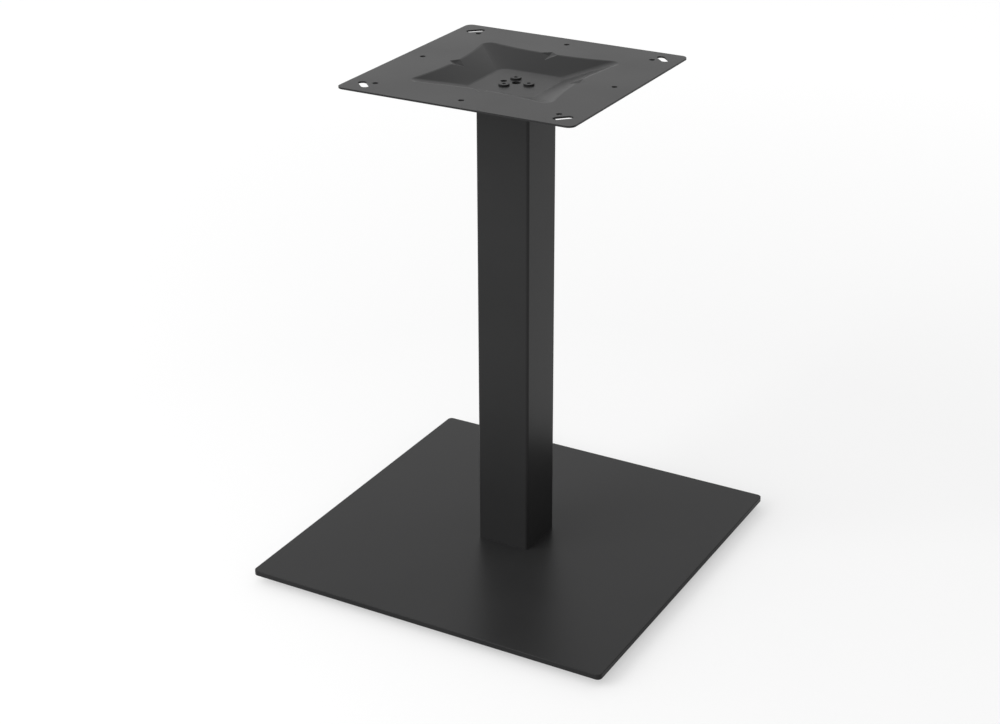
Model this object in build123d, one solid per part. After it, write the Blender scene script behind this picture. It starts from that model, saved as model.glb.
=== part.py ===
from build123d import *
import math
import os

# A pedestal table base: a heavy square plate on levelling feet, a square tube column
# and a pressed, dished top plate that a tabletop is screwed to.
# Millimetres, Z up. The origin is on the floor, under the middle of the column.

# Whole object
total_height = 720.0

# Base plate
base_width = 550.0
base_thickness = 8.0
base_corner_radius = 7.0
base_edge_round = 1.0

# Column
column_width = 80.0
column_wall = 2.0
column_bend_radius = 2.0
end_plate_thickness = 6.0
end_plate_weld_gap = 0.1
vent_hole_diameter = 12.0

# Top plate: a sheet with a dish pressed into its middle
top_width = 345.0
top_corner_radius = 10.0
sheet_thickness = 2.5
dish_depth = 16.0
dish_rim_width = 187.0
dish_rim_bow = 15.0
dish_rim_corner_radius = 11.0
dish_floor_margin = 10.0
dish_floor_corner_radius = 12.0
dish_bend_radius = 10.0

# Gusset darts pressed across the middle of each side of the dish's rim
dart_flange_reach = 9.0
dart_wall_reach = 14.0
dart_depth = 3.0
dart_width = 26.0
dart_root_radius = 4.0

# Holes that the tabletop is fixed through, placed from the sheet's edges
slot_length = 27.0
slot_width = 11.0
slot_inset = 26.5
corner_hole_diameter = 8.0
corner_hole_inset = 37.5
side_hole_diameter = 8.0
side_hole_inset = 27.5

# Flat-head socket screws that hold both plates to the column
screw_diameter = 8.0
screw_hole_clearance = 0.5
screw_head_diameter = 15.0
screw_head_height = 2.4
screw_head_chamfer = 0.6
screw_socket_across_flats = 5.0
screw_socket_depth = 3.0
screw_tip_chamfer = 1.0
screw_tip_reach = 2.0
screw_circle_diameter = 38.0
screw_count = 3
spare_hole_diameter = 9.0
thread_clearance = 0.1

# Levelling feet, one near each corner of the base plate
foot_inset = 45.0
foot_thread_diameter = 8.0
foot_hole_cover = 1.5
stud_end_clearance = 0.5
stud_head_diameter = 14.0
stud_head_thickness = 1.6
weld_nut_height = 6.5
weld_nut_across_flats = 14.0
weld_nut_chamfer = 0.8
pad_diameter = 30.0
pad_height = 5.5
pad_sole_thickness = 1.5
pad_sole_chamfer = 1.0
pad_rim_height = 3.0
pad_shoulder_diameter = 18.0
pad_grip_count = 10
pad_grip_radius = 3.0
pad_grip_depth = 0.8
pad_mould_gap = 0.05

# Heights that follow from the sizes above
base_underside = pad_height + weld_nut_height
base_top = base_underside + base_thickness
dish_floor_top = total_height - dish_depth
column_top = dish_floor_top - sheet_thickness
foot_hole_depth = base_thickness - foot_hole_cover
foot_travel = foot_hole_depth - stud_end_clearance
dish_floor_width = column_width + 2 * dish_floor_margin
screw_hole_diameter = screw_diameter + 2 * screw_hole_clearance

# Room above the sheet in which the press tools are drawn
press_clearance = 20.0

foot_offset = base_width / 2 - foot_inset
foot_places = {
    "front_left": (-foot_offset, -foot_offset),
    "front_right": (foot_offset, -foot_offset),
    "back_right": (foot_offset, foot_offset),
    "back_left": (-foot_offset, foot_offset),
}


def cylinder_between(diameter, low, high):
    """Upright cylinder on the Z axis between two heights."""
    return Pos(0, 0, (low + high) / 2) * Cylinder(diameter / 2, high - low)


def screw_places():
    """Places of the screws on their circle, the first one on +X."""
    return PolarLocations(screw_circle_diameter / 2, screw_count)


def make_base_plate():
    """Thick square plate with softened edges, screw holes and blind holes for the foot studs."""
    plate = extrude(RectangleRounded(base_width, base_width, base_corner_radius), base_thickness)
    flat_faces = plate.faces().filter_by(Axis.Z)
    plate = fillet(flat_faces.edges(), base_edge_round)
    plate = Pos(0, 0, base_underside) * plate
    screw_hole = cylinder_between(screw_hole_diameter, base_underside, base_top)
    plate -= [place * screw_hole for place in screw_places()]
    stud_hole_diameter = foot_thread_diameter + 2 * thread_clearance
    stud_hole = cylinder_between(stud_hole_diameter, base_underside, base_underside + foot_hole_depth)
    plate -= [Pos(x, y) * stud_hole for x, y in foot_places.values()]
    return plate


def make_column_tube():
    """Square tube with rounded corners, standing on the base plate and carrying the dish's floor."""
    inner_width = column_width - 2 * column_wall
    section = RectangleRounded(column_width, column_width, column_bend_radius + column_wall)
    section -= RectangleRounded(inner_width, inner_width, column_bend_radius)
    return Pos(0, 0, base_top) * extrude(section, column_top - base_top)


def make_end_plate(bottom):
    """Plate welded into one end of the tube, with tapped holes and a vent for the coating bath."""
    width = column_width - 2 * column_wall - 2 * end_plate_weld_gap
    plate = extrude(RectangleRounded(width, width, column_bend_radius), end_plate_thickness)
    tapped_hole = cylinder_between(screw_diameter + 2 * thread_clearance, 0, end_plate_thickness)
    plate -= [place * tapped_hole for place in screw_places()]
    plate -= cylinder_between(vent_hole_diameter, 0, end_plate_thickness)
    return Pos(0, 0, bottom) * plate


def dish_rim():
    """Outline of the dish at the sheet's face: a square with sides that bow towards the middle."""
    half = dish_rim_width / 2
    corner = half + dish_rim_bow
    side = ThreePointArc((-corner, corner), (0, half), (corner, corner))
    outline = make_face(Curve() + [Rot(0, 0, 90 * turn) * side for turn in range(4)])
    return fillet(outline.vertices(), dish_rim_corner_radius)


def dart_tool():
    """Blunt wedge for one dart on the +X side, deepest at the rim and run out on the flange and the wall."""
    rim_half = dish_rim_width / 2
    wall_drop = dart_wall_reach * dish_depth / (rim_half - dish_floor_width / 2)
    top_corners = [(dart_width, dart_depth), (-dart_width, dart_depth)]
    wedge = make_face(Polyline((0, -dart_depth), *top_corners, close=True))
    root = wedge.vertices().sort_by(Axis.Y)[0]
    wedge = fillet(root, dart_root_radius)
    section = (Plane(origin=(rim_half, 0, 0), x_dir=(0, 1, 0), z_dir=(1, 0, 0)) * wedge).face()
    flange_tip = Vertex(rim_half + dart_flange_reach, 0, 0)
    wall_tip = Vertex(rim_half - dart_wall_reach, 0, -wall_drop)
    return loft([section, flange_tip], ruled=True) + loft([section, wall_tip], ruled=True)


def press_tool():
    """Everything above the pressed sheet: open air, the rounded dish and its four darts."""
    width = top_width + 2 * press_clearance
    floor = RectangleRounded(dish_floor_width, dish_floor_width, dish_floor_corner_radius)
    dish = loft([dish_rim().face(), (Pos(0, 0, -dish_depth) * floor).face()], ruled=True)
    tool = Pos(0, 0, press_clearance / 2) * Box(width, width, press_clearance) + dish
    floor_edges = tool.faces().sort_by(Axis.Z)[0].edges()
    tool = fillet(floor_edges, dish_bend_radius)
    flange = tool.faces().filter_by(Axis.Z).sort_by(Axis.Z)[1]
    tool = fillet(flange.inner_wires().edges(), dish_bend_radius)
    return tool + [Rot(0, 0, 90 * turn) * dart_tool() for turn in range(4)]


def punch(outline):
    """Upright cutter of an outline, long enough for any hole in the pressed sheet."""
    return extrude(outline, dish_depth + 2 * sheet_thickness, both=True)


def tabletop_punches():
    """Cutters for the slot and the hole at each corner of the flange and the hole at each side."""
    half = top_width / 2
    slot_place = half - slot_inset
    hole_place = half - corner_hole_inset
    slot = Pos(slot_place, slot_place) * Rot(0, 0, -45) * punch(SlotOverall(slot_length, slot_width))
    corner_hole = Pos(hole_place, hole_place) * punch(Circle(corner_hole_diameter / 2))
    side_hole = Pos(half - side_hole_inset, 0) * punch(Circle(side_hole_diameter / 2))
    cutters = [slot, corner_hole, side_hole]
    return [Rot(0, 0, 90 * turn) * cutter for turn in range(4) for cutter in cutters]


def column_punches():
    """Cutters for the screw holes, the vent and the spare hole in the dish's floor."""
    cutters = [place * punch(Circle(screw_hole_diameter / 2)) for place in screw_places()]
    cutters.append(punch(Circle(vent_hole_diameter / 2)))
    cutters.append(Pos(-screw_circle_diameter / 2, 0) * punch(Circle(spare_hole_diameter / 2)))
    return cutters


def make_top_plate():
    """Sheet between the press tool and the same tool one sheet thickness lower, trimmed and punched."""
    tool = press_tool()
    outline = RectangleRounded(top_width, top_width, top_corner_radius)
    trim = extrude(outline, -(dish_depth + sheet_thickness))
    sheet = (trim & (Pos(0, 0, -sheet_thickness) * tool)) - tool
    sheet -= tabletop_punches() + column_punches()
    return Pos(0, 0, total_height) * sheet


def make_screw(grip):
    """Flat-head socket screw standing on its head's seat at Z 0, with its shank pointing down."""
    length = grip + end_plate_thickness + screw_tip_reach
    shank = cylinder_between(screw_diameter, -length, 0)
    shank = chamfer(shank.edges().sort_by(Axis.Z)[0], screw_tip_chamfer)
    head = cylinder_between(screw_head_diameter, 0, screw_head_height)
    head = chamfer(head.edges().sort_by(Axis.Z)[-1], screw_head_chamfer)
    screw = shank + head
    hexagon = RegularPolygon(screw_socket_across_flats / 2, 6, major_radius=False)
    socket = extrude(Pos(0, 0, screw_head_height) * hexagon, -screw_socket_depth)
    return screw - socket


def make_top_plate_screws():
    """Screws in the dish, their heads on its floor and their tips through the column's top end plate."""
    screw = Pos(0, 0, dish_floor_top) * make_screw(sheet_thickness)
    return Compound([place * screw for place in screw_places()])


def make_base_plate_screws():
    """Screws from below, their heads under the base plate and their tips through the bottom end plate."""
    screw = Pos(0, 0, base_underside) * Rot(180, 0, 0) * make_screw(base_thickness)
    return Compound([place * screw for place in screw_places()])


def make_foot_weld_nuts():
    """Hexagon nuts welded under the base plate, one for each foot, with chamfered lower corners."""
    hexagon = RegularPolygon(weld_nut_across_flats / 2, 6, major_radius=False)
    hexagon -= Circle(foot_thread_diameter / 2 + thread_clearance)
    nut = extrude(Pos(0, 0, pad_height) * hexagon, weld_nut_height)
    corner_diameter = weld_nut_across_flats / math.cos(math.radians(30))
    turned = cylinder_between(corner_diameter, pad_height, base_underside)
    nut &= chamfer(turned.edges().sort_by(Axis.Z)[0], weld_nut_chamfer / 2, weld_nut_chamfer)
    return Compound([Pos(x, y) * nut for x, y in foot_places.values()])


def stud_outline(gap):
    """Half section of a foot's stud, grown by a gap all round, from its head's underside to its end."""
    head_radius = stud_head_diameter / 2 + gap
    thread_radius = foot_thread_diameter / 2 + gap
    head_bottom = pad_sole_thickness - gap
    head_top = pad_sole_thickness + stud_head_thickness + gap
    end = base_underside + foot_travel + gap
    return Polyline(
        (0, head_bottom),
        (head_radius, head_bottom),
        (head_radius, head_top),
        (thread_radius, head_top),
        (thread_radius, end),
        (0, end),
        close=True,
    )


def make_foot_stud():
    """Threaded stud with the round head that its pad is moulded round."""
    return revolve(Plane.XZ * make_face(stud_outline(0)), Axis.Z)


def make_foot_pad():
    """Moulded pad round the stud's head, with a sloping crown up to the nut and grips round its rim."""
    radius = pad_diameter / 2
    profile = Polyline(
        (0, 0),
        (radius - pad_sole_chamfer, 0),
        (radius, pad_sole_chamfer),
        (radius, pad_rim_height),
        (pad_shoulder_diameter / 2, pad_height),
        (0, pad_height),
        close=True,
    )
    pad = revolve(Plane.XZ * make_face(profile), Axis.Z)
    grip = Pos(radius + pad_grip_radius - pad_grip_depth, 0) * Cylinder(pad_grip_radius, 2 * pad_height)
    pad -= [Rot(0, 0, 360 * turn / pad_grip_count) * grip for turn in range(pad_grip_count)]
    return pad - revolve(Plane.XZ * make_face(stud_outline(pad_mould_gap)), Axis.Z)


def make_pieces():
    """All pieces at their places, by node name."""
    pieces = {
        "base_plate": make_base_plate(),
        "column_tube": make_column_tube(),
        "column_bottom_end_plate": make_end_plate(base_top),
        "column_top_end_plate": make_end_plate(column_top - end_plate_thickness),
        "top_plate": make_top_plate(),
        "top_plate_screws": make_top_plate_screws(),
        "base_plate_screws": make_base_plate_screws(),
        "foot_weld_nuts": make_foot_weld_nuts(),
    }
    pad = make_foot_pad()
    stud = make_foot_stud()
    for place, (x, y) in foot_places.items():
        pieces["foot_pad_" + place] = Pos(x, y) * pad
        pieces["foot_stud_" + place] = Pos(x, y) * stud
    return pieces


os.makedirs("parts", exist_ok=True)
for name, piece in make_pieces().items():
    export_step(piece, "parts/" + name + ".step")
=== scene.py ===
import bmesh
import bpy
import math
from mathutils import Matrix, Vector


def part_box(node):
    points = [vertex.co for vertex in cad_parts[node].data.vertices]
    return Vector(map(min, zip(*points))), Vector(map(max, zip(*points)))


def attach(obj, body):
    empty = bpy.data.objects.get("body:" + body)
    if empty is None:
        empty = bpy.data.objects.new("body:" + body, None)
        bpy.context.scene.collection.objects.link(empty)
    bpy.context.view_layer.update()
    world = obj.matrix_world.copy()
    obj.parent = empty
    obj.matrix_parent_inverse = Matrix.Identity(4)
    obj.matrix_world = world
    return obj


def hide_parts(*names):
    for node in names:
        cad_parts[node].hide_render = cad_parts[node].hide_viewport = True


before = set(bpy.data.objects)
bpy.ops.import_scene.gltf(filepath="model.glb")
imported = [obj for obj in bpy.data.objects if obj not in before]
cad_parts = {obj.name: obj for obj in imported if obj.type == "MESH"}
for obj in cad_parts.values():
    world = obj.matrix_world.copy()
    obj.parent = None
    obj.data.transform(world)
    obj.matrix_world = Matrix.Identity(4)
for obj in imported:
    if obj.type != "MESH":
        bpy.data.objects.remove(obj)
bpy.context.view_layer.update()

# Camera, fitted to the photograph: in front of the object, to its right and above it
IMAGE_WIDTH = 1000
IMAGE_HEIGHT = 724
CAMERA_AZIMUTH = math.radians(28.79)
CAMERA_ELEVATION = math.radians(23.87)
CAMERA_DISTANCE = 2.7687
CAMERA_TARGET = Vector((0, 0, 0.36))
FOCAL_LENGTH_PX = 1979.0
OPTICAL_CENTRE_PX = (516.27, 319.63)
SENSOR_WIDTH_MM = 36

# Floor: white is added to it for the camera, and less for reflections. Near the object still less is added,
# a painted shade round it on top of the shadow it casts, most of all in reflections.
# Each fade holds the two distances from the object between which the near value turns into the far one.
FLOOR_SIZE = 30
FLOOR_ALBEDO = 0.5
# Less white for the camera near the object: a faint painted shade round it
FLOOR_LIFT_IN_PAINTED_SHADE = 0.47
FLOOR_LIFT_FAR = 0.58
FLOOR_FADE = (0.8, 2.6)
# Much less white in reflections near the object: a painted shade round it
MIRROR_LIFT_IN_PAINTED_SHADE = 0.05
MIRROR_LIFT_FAR = 0.41
MIRROR_FADE = (0.32, 0.47)

# Light: a pale surround that is brighter on the left, and one large soft lamp in front on the left
WORLD_LEFT = 1.17
WORLD_RIGHT = 0.42
LAMP_DIRECTION = Vector((-0.5, -0.75, 0.43))
LAMP_DISTANCE = 3.2
LAMP_SIZE = 2.4
LAMP_WATTS = 62

# Frame nodes by finish, and the places of the feet
COATED_NODES = ("base_plate", "column_tube", "column_bottom_end_plate", "column_top_end_plate", "top_plate",
                "foot_weld_nuts")
SCREW_NODES = ("top_plate_screws", "base_plate_screws")
FEET = ("front_left", "front_right", "back_right", "back_left")

# Values between which most of a noise texture lies
NOISE_RANGE = (0.3, 0.7)

# Points of a new mesh that are closer than this become one
MERGE_DISTANCE = 1e-6

# Cut thread of the foot studs. Each corner of one turn has its height as a share of the pitch
# and its depth as a share of the thread's depth.
THREAD_RADIUS = 0.004
THREAD_PITCH = 0.00125
THREAD_DEPTH = 0.00077
THREAD_CORNERS = ((0, 1), (0.25, 1), (0.5625, 0), (0.6875, 0))
THREAD_STEPS = 40
STUD_HEAD_THICKNESS = 0.0016
STUD_SHARP_DEGREES = 35

# Weld beads that hold each foot nut to the base plate, on every other flat.
# Roundness is 1 for a quarter circle in section and 0 for a flat fillet. The ripple's height is a share
# of the bead's leg, and its lag at the middle of the bead is a share of one ripple.
NUT_HALF_WIDTH = 0.007
BEAD_TURNS = (90, 210, 330)
BEAD_LENGTH = 0.0072
BEAD_LEG = 0.0021
BEAD_ROUNDNESS = 0.6
BEAD_END_POWER = 4
BEAD_RIPPLE = 0.0011
BEAD_RIPPLE_HEIGHT = 0.07
BEAD_RIPPLE_LAG = 0.5
BEAD_STEPS = 36
BEAD_FAN = 9
BEAD_SHARP_DEGREES = 60


def add_node(tree, kind, **settings):
    """A node with some of its properties and input sockets set by name."""
    node = tree.nodes.new(kind)
    for key, value in settings.items():
        if hasattr(node, key):
            setattr(node, key, value)
        else:
            node.inputs[key.replace("_", " ").title()].default_value = value
    return node


def new_material(name):
    """A node material, its tree, its Principled shader and the place on the object in metres."""
    material = bpy.data.materials.new(name)
    material.use_nodes = True
    tree = material.node_tree
    place = add_node(tree, "ShaderNodeTexCoord").outputs["Object"]
    return material, tree, tree.nodes["Principled BSDF"], place


def noise(tree, place, scale, detail):
    """Height field of a noise texture, with its grain given as repeats for each metre."""
    texture = add_node(tree, "ShaderNodeTexNoise", scale=scale, detail=detail)
    tree.links.new(place, texture.inputs["Vector"])
    return texture.outputs["Fac"]


def spread(tree, value, low, high, bottom, top):
    """The value's range from low to high stretched to the range from bottom to top."""
    node = add_node(tree, "ShaderNodeMapRange", from_min=low, from_max=high, to_min=bottom, to_max=top)
    tree.links.new(value, node.inputs["Value"])
    return node.outputs["Result"]


def blend_colours(tree, value, first, second):
    """A colour between two, by a value from 0 to 1."""
    node = add_node(tree, "ShaderNodeMix", data_type="RGBA")
    colours = [socket for socket in node.inputs if socket.type == "RGBA"]
    colours[0].default_value = (*first, 1)
    colours[1].default_value = (*second, 1)
    tree.links.new(value, node.inputs["Factor"])
    return [socket for socket in node.outputs if socket.type == "RGBA"][0]


def calculate(tree, operation, first, second):
    """One arithmetic step on two values."""
    node = add_node(tree, "ShaderNodeMath", operation=operation)
    tree.links.new(first, node.inputs[0])
    tree.links.new(second, node.inputs[1])
    return node.outputs[0]


def mottle(tree, shader, field, dark, pale, roughness):
    """Varies a shader's colour and roughness with a noise field."""
    patches = spread(tree, field, *NOISE_RANGE, 0, 1)
    tree.links.new(blend_colours(tree, patches, dark, pale), shader.inputs["Base Color"])
    tree.links.new(spread(tree, field, *NOISE_RANGE, *roughness), shader.inputs["Roughness"])


def bump(tree, height, depth, strength, normal=None):
    """A bumped normal, for a height field of that depth in metres."""
    node = add_node(tree, "ShaderNodeBump", strength=strength, distance=depth)
    tree.links.new(height, node.inputs["Height"])
    if normal is not None:
        tree.links.new(normal, node.inputs["Normal"])
    return node.outputs["Normal"]


def powder_coat(name):
    """Satin black powder coat: a fine even grain, a little orange peel and a slightly uneven sheen."""
    material, tree, shader, place = new_material(name)
    clouds = noise(tree, place, scale=7, detail=3)
    grain = noise(tree, place, scale=900, detail=2)
    peel = noise(tree, place, scale=170, detail=1)
    dark = (0.0205, 0.0205, 0.0208)
    pale = (0.0238, 0.0238, 0.0241)
    mottle(tree, shader, clouds, dark, pale, roughness=(0.31, 0.36))
    shader.inputs["Specular IOR Level"].default_value = 0.14
    peeled = bump(tree, peel, depth=0.00004, strength=0.25)
    tree.links.new(bump(tree, grain, depth=0.00002, strength=0.4, normal=peeled), shader.inputs["Normal"])
    return material


def black_oxide(name):
    """Oiled black oxide on steel screws."""
    material, tree, shader, place = new_material(name)
    film = noise(tree, place, scale=260, detail=3)
    dark = (0.013, 0.013, 0.0135)
    pale = (0.019, 0.019, 0.0195)
    mottle(tree, shader, film, dark, pale, roughness=(0.32, 0.42))
    shader.inputs["Specular IOR Level"].default_value = 0.16
    tree.links.new(bump(tree, film, depth=0.00003, strength=0.3), shader.inputs["Normal"])
    return material


def zinc_plate(name):
    """Bright zinc plate with a faint cloudy passivation."""
    material, tree, shader, place = new_material(name)
    clouds = noise(tree, place, scale=120, detail=3)
    scratches = noise(tree, place, scale=1500, detail=2)
    dark = (0.56, 0.57, 0.59)
    pale = (0.68, 0.68, 0.66)
    mottle(tree, shader, clouds, dark, pale, roughness=(0.26, 0.4))
    shader.inputs["Metallic"].default_value = 1
    tree.links.new(bump(tree, scratches, depth=0.00001, strength=0.3), shader.inputs["Normal"])
    return material


def moulded_nylon(name):
    """Matt black nylon with a fine moulded grain."""
    material, tree, shader, place = new_material(name)
    flow = noise(tree, place, scale=45, detail=2)
    grain = noise(tree, place, scale=1100, detail=2)
    dark = (0.012, 0.012, 0.0125)
    pale = (0.018, 0.018, 0.0185)
    mottle(tree, shader, flow, dark, pale, roughness=(0.5, 0.6))
    tree.links.new(bump(tree, grain, depth=0.00004, strength=0.5), shader.inputs["Normal"])
    return material


def paint(node, material):
    """Gives a frame node one material all over."""
    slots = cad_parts[node].data.materials
    slots.clear()
    slots.append(material)


def add_piece(name, points, faces, material, sharp_degrees):
    """A mesh piece with one material, smooth apart from its sharp edges."""
    mesh = bpy.data.meshes.new(name)
    mesh.from_pydata(points, [], faces)
    shape = bmesh.new()
    shape.from_mesh(mesh)
    bmesh.ops.remove_doubles(shape, verts=shape.verts, dist=MERGE_DISTANCE)
    bmesh.ops.dissolve_degenerate(shape, edges=shape.edges, dist=MERGE_DISTANCE)
    bmesh.ops.recalc_face_normals(shape, faces=shape.faces)
    shape.to_mesh(mesh)
    shape.free()
    mesh.polygons.foreach_set("use_smooth", [True] * len(mesh.polygons))
    mesh.set_sharp_from_angle(angle=math.radians(sharp_degrees))
    mesh.materials.append(material)
    piece = bpy.data.objects.new(name, mesh)
    bpy.context.scene.collection.objects.link(piece)
    return piece


def ring(middle, radius, height, steps):
    """Points of a level circle."""
    turns = [2 * math.pi * step / steps for step in range(steps)]
    return [(middle.x + radius * math.cos(turn), middle.y + radius * math.sin(turn), height)
            for turn in turns]


def stud_mesh(node):
    """Points and faces of a foot's stud: its round head and its cut thread, run out at both ends."""
    low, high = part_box(node)
    middle = (low + high) / 2
    head_radius = (high.x - low.x) / 2
    thread_low = low.z + STUD_HEAD_THICKNESS
    root = THREAD_RADIUS - THREAD_DEPTH
    steps = THREAD_STEPS
    corners = len(THREAD_CORNERS)
    turns = math.ceil((high.z - thread_low) / THREAD_PITCH) + 1
    points = []
    for step in range((turns + 1) * steps + 1):
        angle = 2 * math.pi * step / steps
        for share, depth in THREAD_CORNERS:
            height = thread_low + THREAD_PITCH * (step / steps - 1 + share)
            height = min(max(height, thread_low), high.z)
            from_end = min(height - thread_low, high.z - height)
            radius = min(THREAD_RADIUS - THREAD_DEPTH * depth, root + from_end)
            points.append((middle.x + radius * math.cos(angle), middle.y + radius * math.sin(angle), height))
    faces = []
    for step in range(turns * steps):
        for corner in range(corners):
            first = step * corners + corner
            above = first + 1 if corner < corners - 1 else (step + steps) * corners
            faces.append((first, first + corners, above + corners, above))
    start = len(points)
    circles = ((head_radius, low.z), (head_radius, thread_low), (root, thread_low), (root, high.z))
    for radius, height in circles:
        points += ring(middle, radius, height, steps)
    sole, shoulder, thread_start, end = (list(range(start + turn * steps, start + (turn + 1) * steps))
                                         for turn in range(len(circles)))
    faces += [tuple(sole), tuple(end)]
    for lower, upper in ((sole, shoulder), (shoulder, thread_start)):
        for step in range(steps):
            after = (step + 1) % steps
            faces.append((lower[step], lower[after], upper[after], upper[step]))
    return points, faces


def make_studs(material):
    """Threaded studs in place of the plain ones."""
    for foot in FEET:
        node = "foot_stud_" + foot
        points, faces = stud_mesh(node)
        stud = add_piece("threaded_stud_" + foot, points, faces, material, STUD_SHARP_DEGREES)
        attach(stud, "foot_" + foot)
        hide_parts(node)


def bead_mesh(corner, outward, along):
    """Points and faces of one rippled fillet bead between a nut's flat and the plate above it."""
    points = []
    for step in range(BEAD_STEPS + 1):
        share = 2 * step / BEAD_STEPS - 1
        swell = BEAD_LEG * math.sqrt(max(1 - share ** BEAD_END_POWER, 0))
        place = share * BEAD_LENGTH / 2
        points.append(corner + along * place)
        for spoke in range(BEAD_FAN):
            angle = math.pi / 2 * spoke / (BEAD_FAN - 1)
            towards_middle = math.sin(2 * angle)
            bulge = BEAD_ROUNDNESS + (1 - BEAD_ROUNDNESS) / (math.cos(angle) + math.sin(angle))
            phase = place / BEAD_RIPPLE + BEAD_RIPPLE_LAG * towards_middle
            ripple = 1 + BEAD_RIPPLE_HEIGHT * math.cos(2 * math.pi * phase) * towards_middle
            reach = swell * bulge * ripple
            offset = outward * reach * math.cos(angle) + Vector((0, 0, -reach * math.sin(angle)))
            points.append(corner + along * place + offset)
    faces = []
    around = BEAD_FAN + 1
    for step in range(BEAD_STEPS):
        for spoke in range(around):
            first = step * around + spoke
            second = step * around + (spoke + 1) % around
            faces.append((first, second, second + around, first + around))
    return points, faces


def make_weld_beads(material):
    """Short beads round the top of each foot nut."""
    plate_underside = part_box("base_plate")[0].z
    points = []
    faces = []
    for foot in FEET:
        low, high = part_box("foot_pad_" + foot)
        middle = (low + high) / 2
        for turn in BEAD_TURNS:
            outward = Vector((math.cos(math.radians(turn)), math.sin(math.radians(turn)), 0))
            along = Vector((-outward.y, outward.x, 0))
            corner = Vector((middle.x, middle.y, plate_underside)) + outward * NUT_HALF_WIDTH
            bead_points, bead_faces = bead_mesh(corner, outward, along)
            faces += [tuple(index + len(points) for index in face) for face in bead_faces]
            points += bead_points
    beads = add_piece("foot_nut_weld_beads", points, faces, material, BEAD_SHARP_DEGREES)
    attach(beads, "stand")


def dress():
    """Materials of all frame nodes, and the pieces that the frame leaves plain or out."""
    coat = powder_coat("black_powder_coat")
    oxide = black_oxide("black_oxide_steel")
    zinc = zinc_plate("zinc_plated_steel")
    nylon = moulded_nylon("black_nylon")
    for node in COATED_NODES:
        paint(node, coat)
    for node in SCREW_NODES:
        paint(node, oxide)
    for foot in FEET:
        paint("foot_stud_" + foot, zinc)
        paint("foot_pad_" + foot, nylon)
    make_studs(zinc)
    make_weld_beads(coat)


def floor_lift(tree):
    """White added for the camera, in reflections and through glass, but not for rays that light things. Less
    is added near the object, which paints shade round it.
    """
    length = add_node(tree, "ShaderNodeVectorMath", operation="LENGTH")
    tree.links.new(add_node(tree, "ShaderNodeTexCoord").outputs["Object"], length.inputs[0])
    distance = length.outputs["Value"]
    path = add_node(tree, "ShaderNodeLightPath").outputs
    # Painted shade: the white that the camera sees is smaller near the object
    seen_lift = spread(tree, distance, *FLOOR_FADE, FLOOR_LIFT_IN_PAINTED_SHADE, FLOOR_LIFT_FAR)
    # Painted shade: the white seen in reflections is much smaller near the object
    mirror_lift = spread(tree, distance, *MIRROR_FADE, MIRROR_LIFT_IN_PAINTED_SHADE, MIRROR_LIFT_FAR)
    seen = calculate(tree, "MULTIPLY", path["Is Camera Ray"], seen_lift)
    mirror_ray = calculate(tree, "MAXIMUM", path["Is Glossy Ray"], path["Is Transmission Ray"])
    mirrored = calculate(tree, "MULTIPLY", mirror_ray, mirror_lift)
    return calculate(tree, "ADD", seen, mirrored)


def make_floor():
    """Plain pale floor that comes out white far from the object, with a painted shade round the object as
    well as the shadow it casts.
    """
    bpy.ops.mesh.primitive_plane_add(size=FLOOR_SIZE)
    floor = bpy.context.object
    floor.name = "floor"
    material = bpy.data.materials.new("floor")
    material.use_nodes = True
    tree = material.node_tree
    tree.nodes.clear()
    surface = add_node(tree, "ShaderNodeBsdfDiffuse")
    surface.inputs["Color"].default_value = (FLOOR_ALBEDO, FLOOR_ALBEDO, FLOOR_ALBEDO, 1)
    glow = add_node(tree, "ShaderNodeEmission")
    tree.links.new(floor_lift(tree), glow.inputs["Strength"])
    total = add_node(tree, "ShaderNodeAddShader")
    tree.links.new(surface.outputs[0], total.inputs[0])
    tree.links.new(glow.outputs[0], total.inputs[1])
    output = add_node(tree, "ShaderNodeOutputMaterial")
    tree.links.new(total.outputs[0], output.inputs["Surface"])
    floor.data.materials.append(material)


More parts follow.
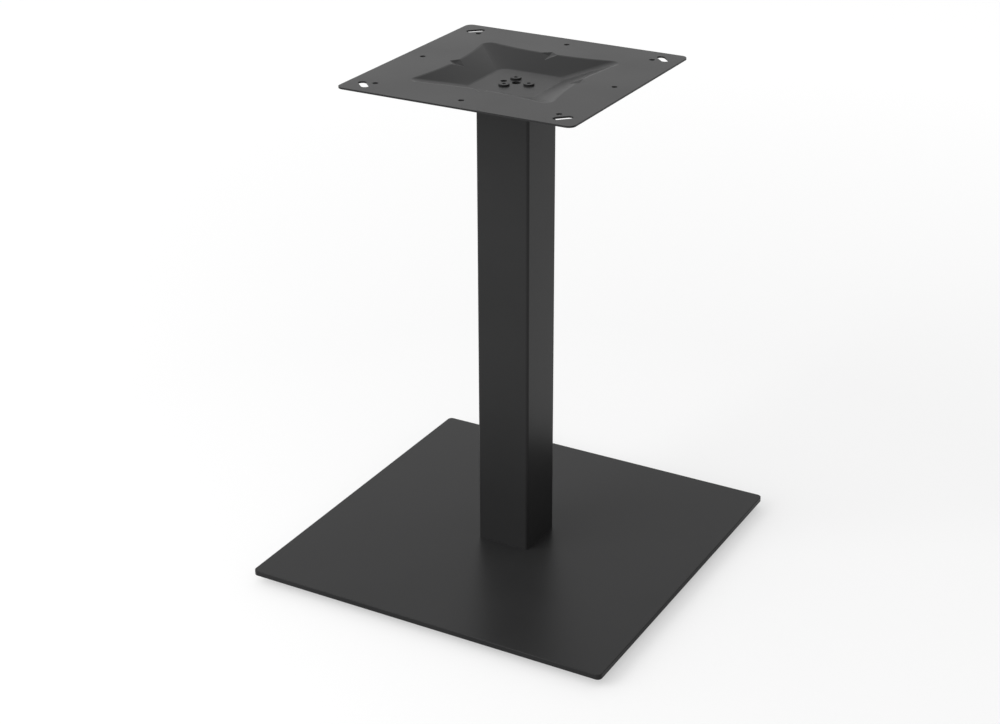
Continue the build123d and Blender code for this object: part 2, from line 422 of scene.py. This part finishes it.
def make_world():
    """Soft pale studio light from all round, fading from the left to the right."""
    world = bpy.data.worlds.new("studio")
    bpy.context.scene.world = world
    world.use_nodes = True
    tree = world.node_tree
    background = tree.nodes["Background"]
    background.inputs["Color"].default_value = (1, 1, 1, 1)
    direction = add_node(tree, "ShaderNodeSeparateXYZ")
    tree.links.new(add_node(tree, "ShaderNodeTexCoord").outputs["Generated"], direction.inputs[0])
    strength = spread(tree, direction.outputs["X"], -1, 1, WORLD_LEFT, WORLD_RIGHT)
    tree.links.new(strength, background.inputs["Strength"])


def make_lamp():
    """Large soft lamp that lights the column's front face and the tops of both plates."""
    data = bpy.data.lights.new("lamp", "AREA")
    data.shape = "SQUARE"
    data.size = LAMP_SIZE
    data.energy = LAMP_WATTS
    lamp = bpy.data.objects.new("lamp", data)
    bpy.context.scene.collection.objects.link(lamp)
    direction = LAMP_DIRECTION.normalized()
    lamp.location = CAMERA_TARGET + LAMP_DISTANCE * direction
    lamp.rotation_mode = "QUATERNION"
    lamp.rotation_quaternion = (-direction).to_track_quat("-Z", "Y")


def make_camera():
    """Camera at the photograph's place, with its optical centre where the photograph has it."""
    data = bpy.data.cameras.new("camera")
    data.sensor_width = SENSOR_WIDTH_MM
    data.lens = FOCAL_LENGTH_PX / IMAGE_WIDTH * SENSOR_WIDTH_MM
    data.shift_x = (IMAGE_WIDTH / 2 - OPTICAL_CENTRE_PX[0]) / IMAGE_WIDTH
    data.shift_y = (OPTICAL_CENTRE_PX[1] - IMAGE_HEIGHT / 2) / IMAGE_WIDTH
    camera = bpy.data.objects.new("camera", data)
    bpy.context.scene.collection.objects.link(camera)
    level = math.cos(CAMERA_ELEVATION)
    across = Vector((math.sin(CAMERA_AZIMUTH), -math.cos(CAMERA_AZIMUTH), 0))
    back = level * across + Vector((0, 0, math.sin(CAMERA_ELEVATION)))
    camera.location = CAMERA_TARGET + CAMERA_DISTANCE * back
    camera.rotation_mode = "QUATERNION"
    camera.rotation_quaternion = (-back).to_track_quat("-Z", "Y")
    bpy.context.scene.camera = camera


dress()
make_floor()
make_world()
make_lamp()
make_camera()
bpy.context.scene.view_settings.view_transform = "Standard"
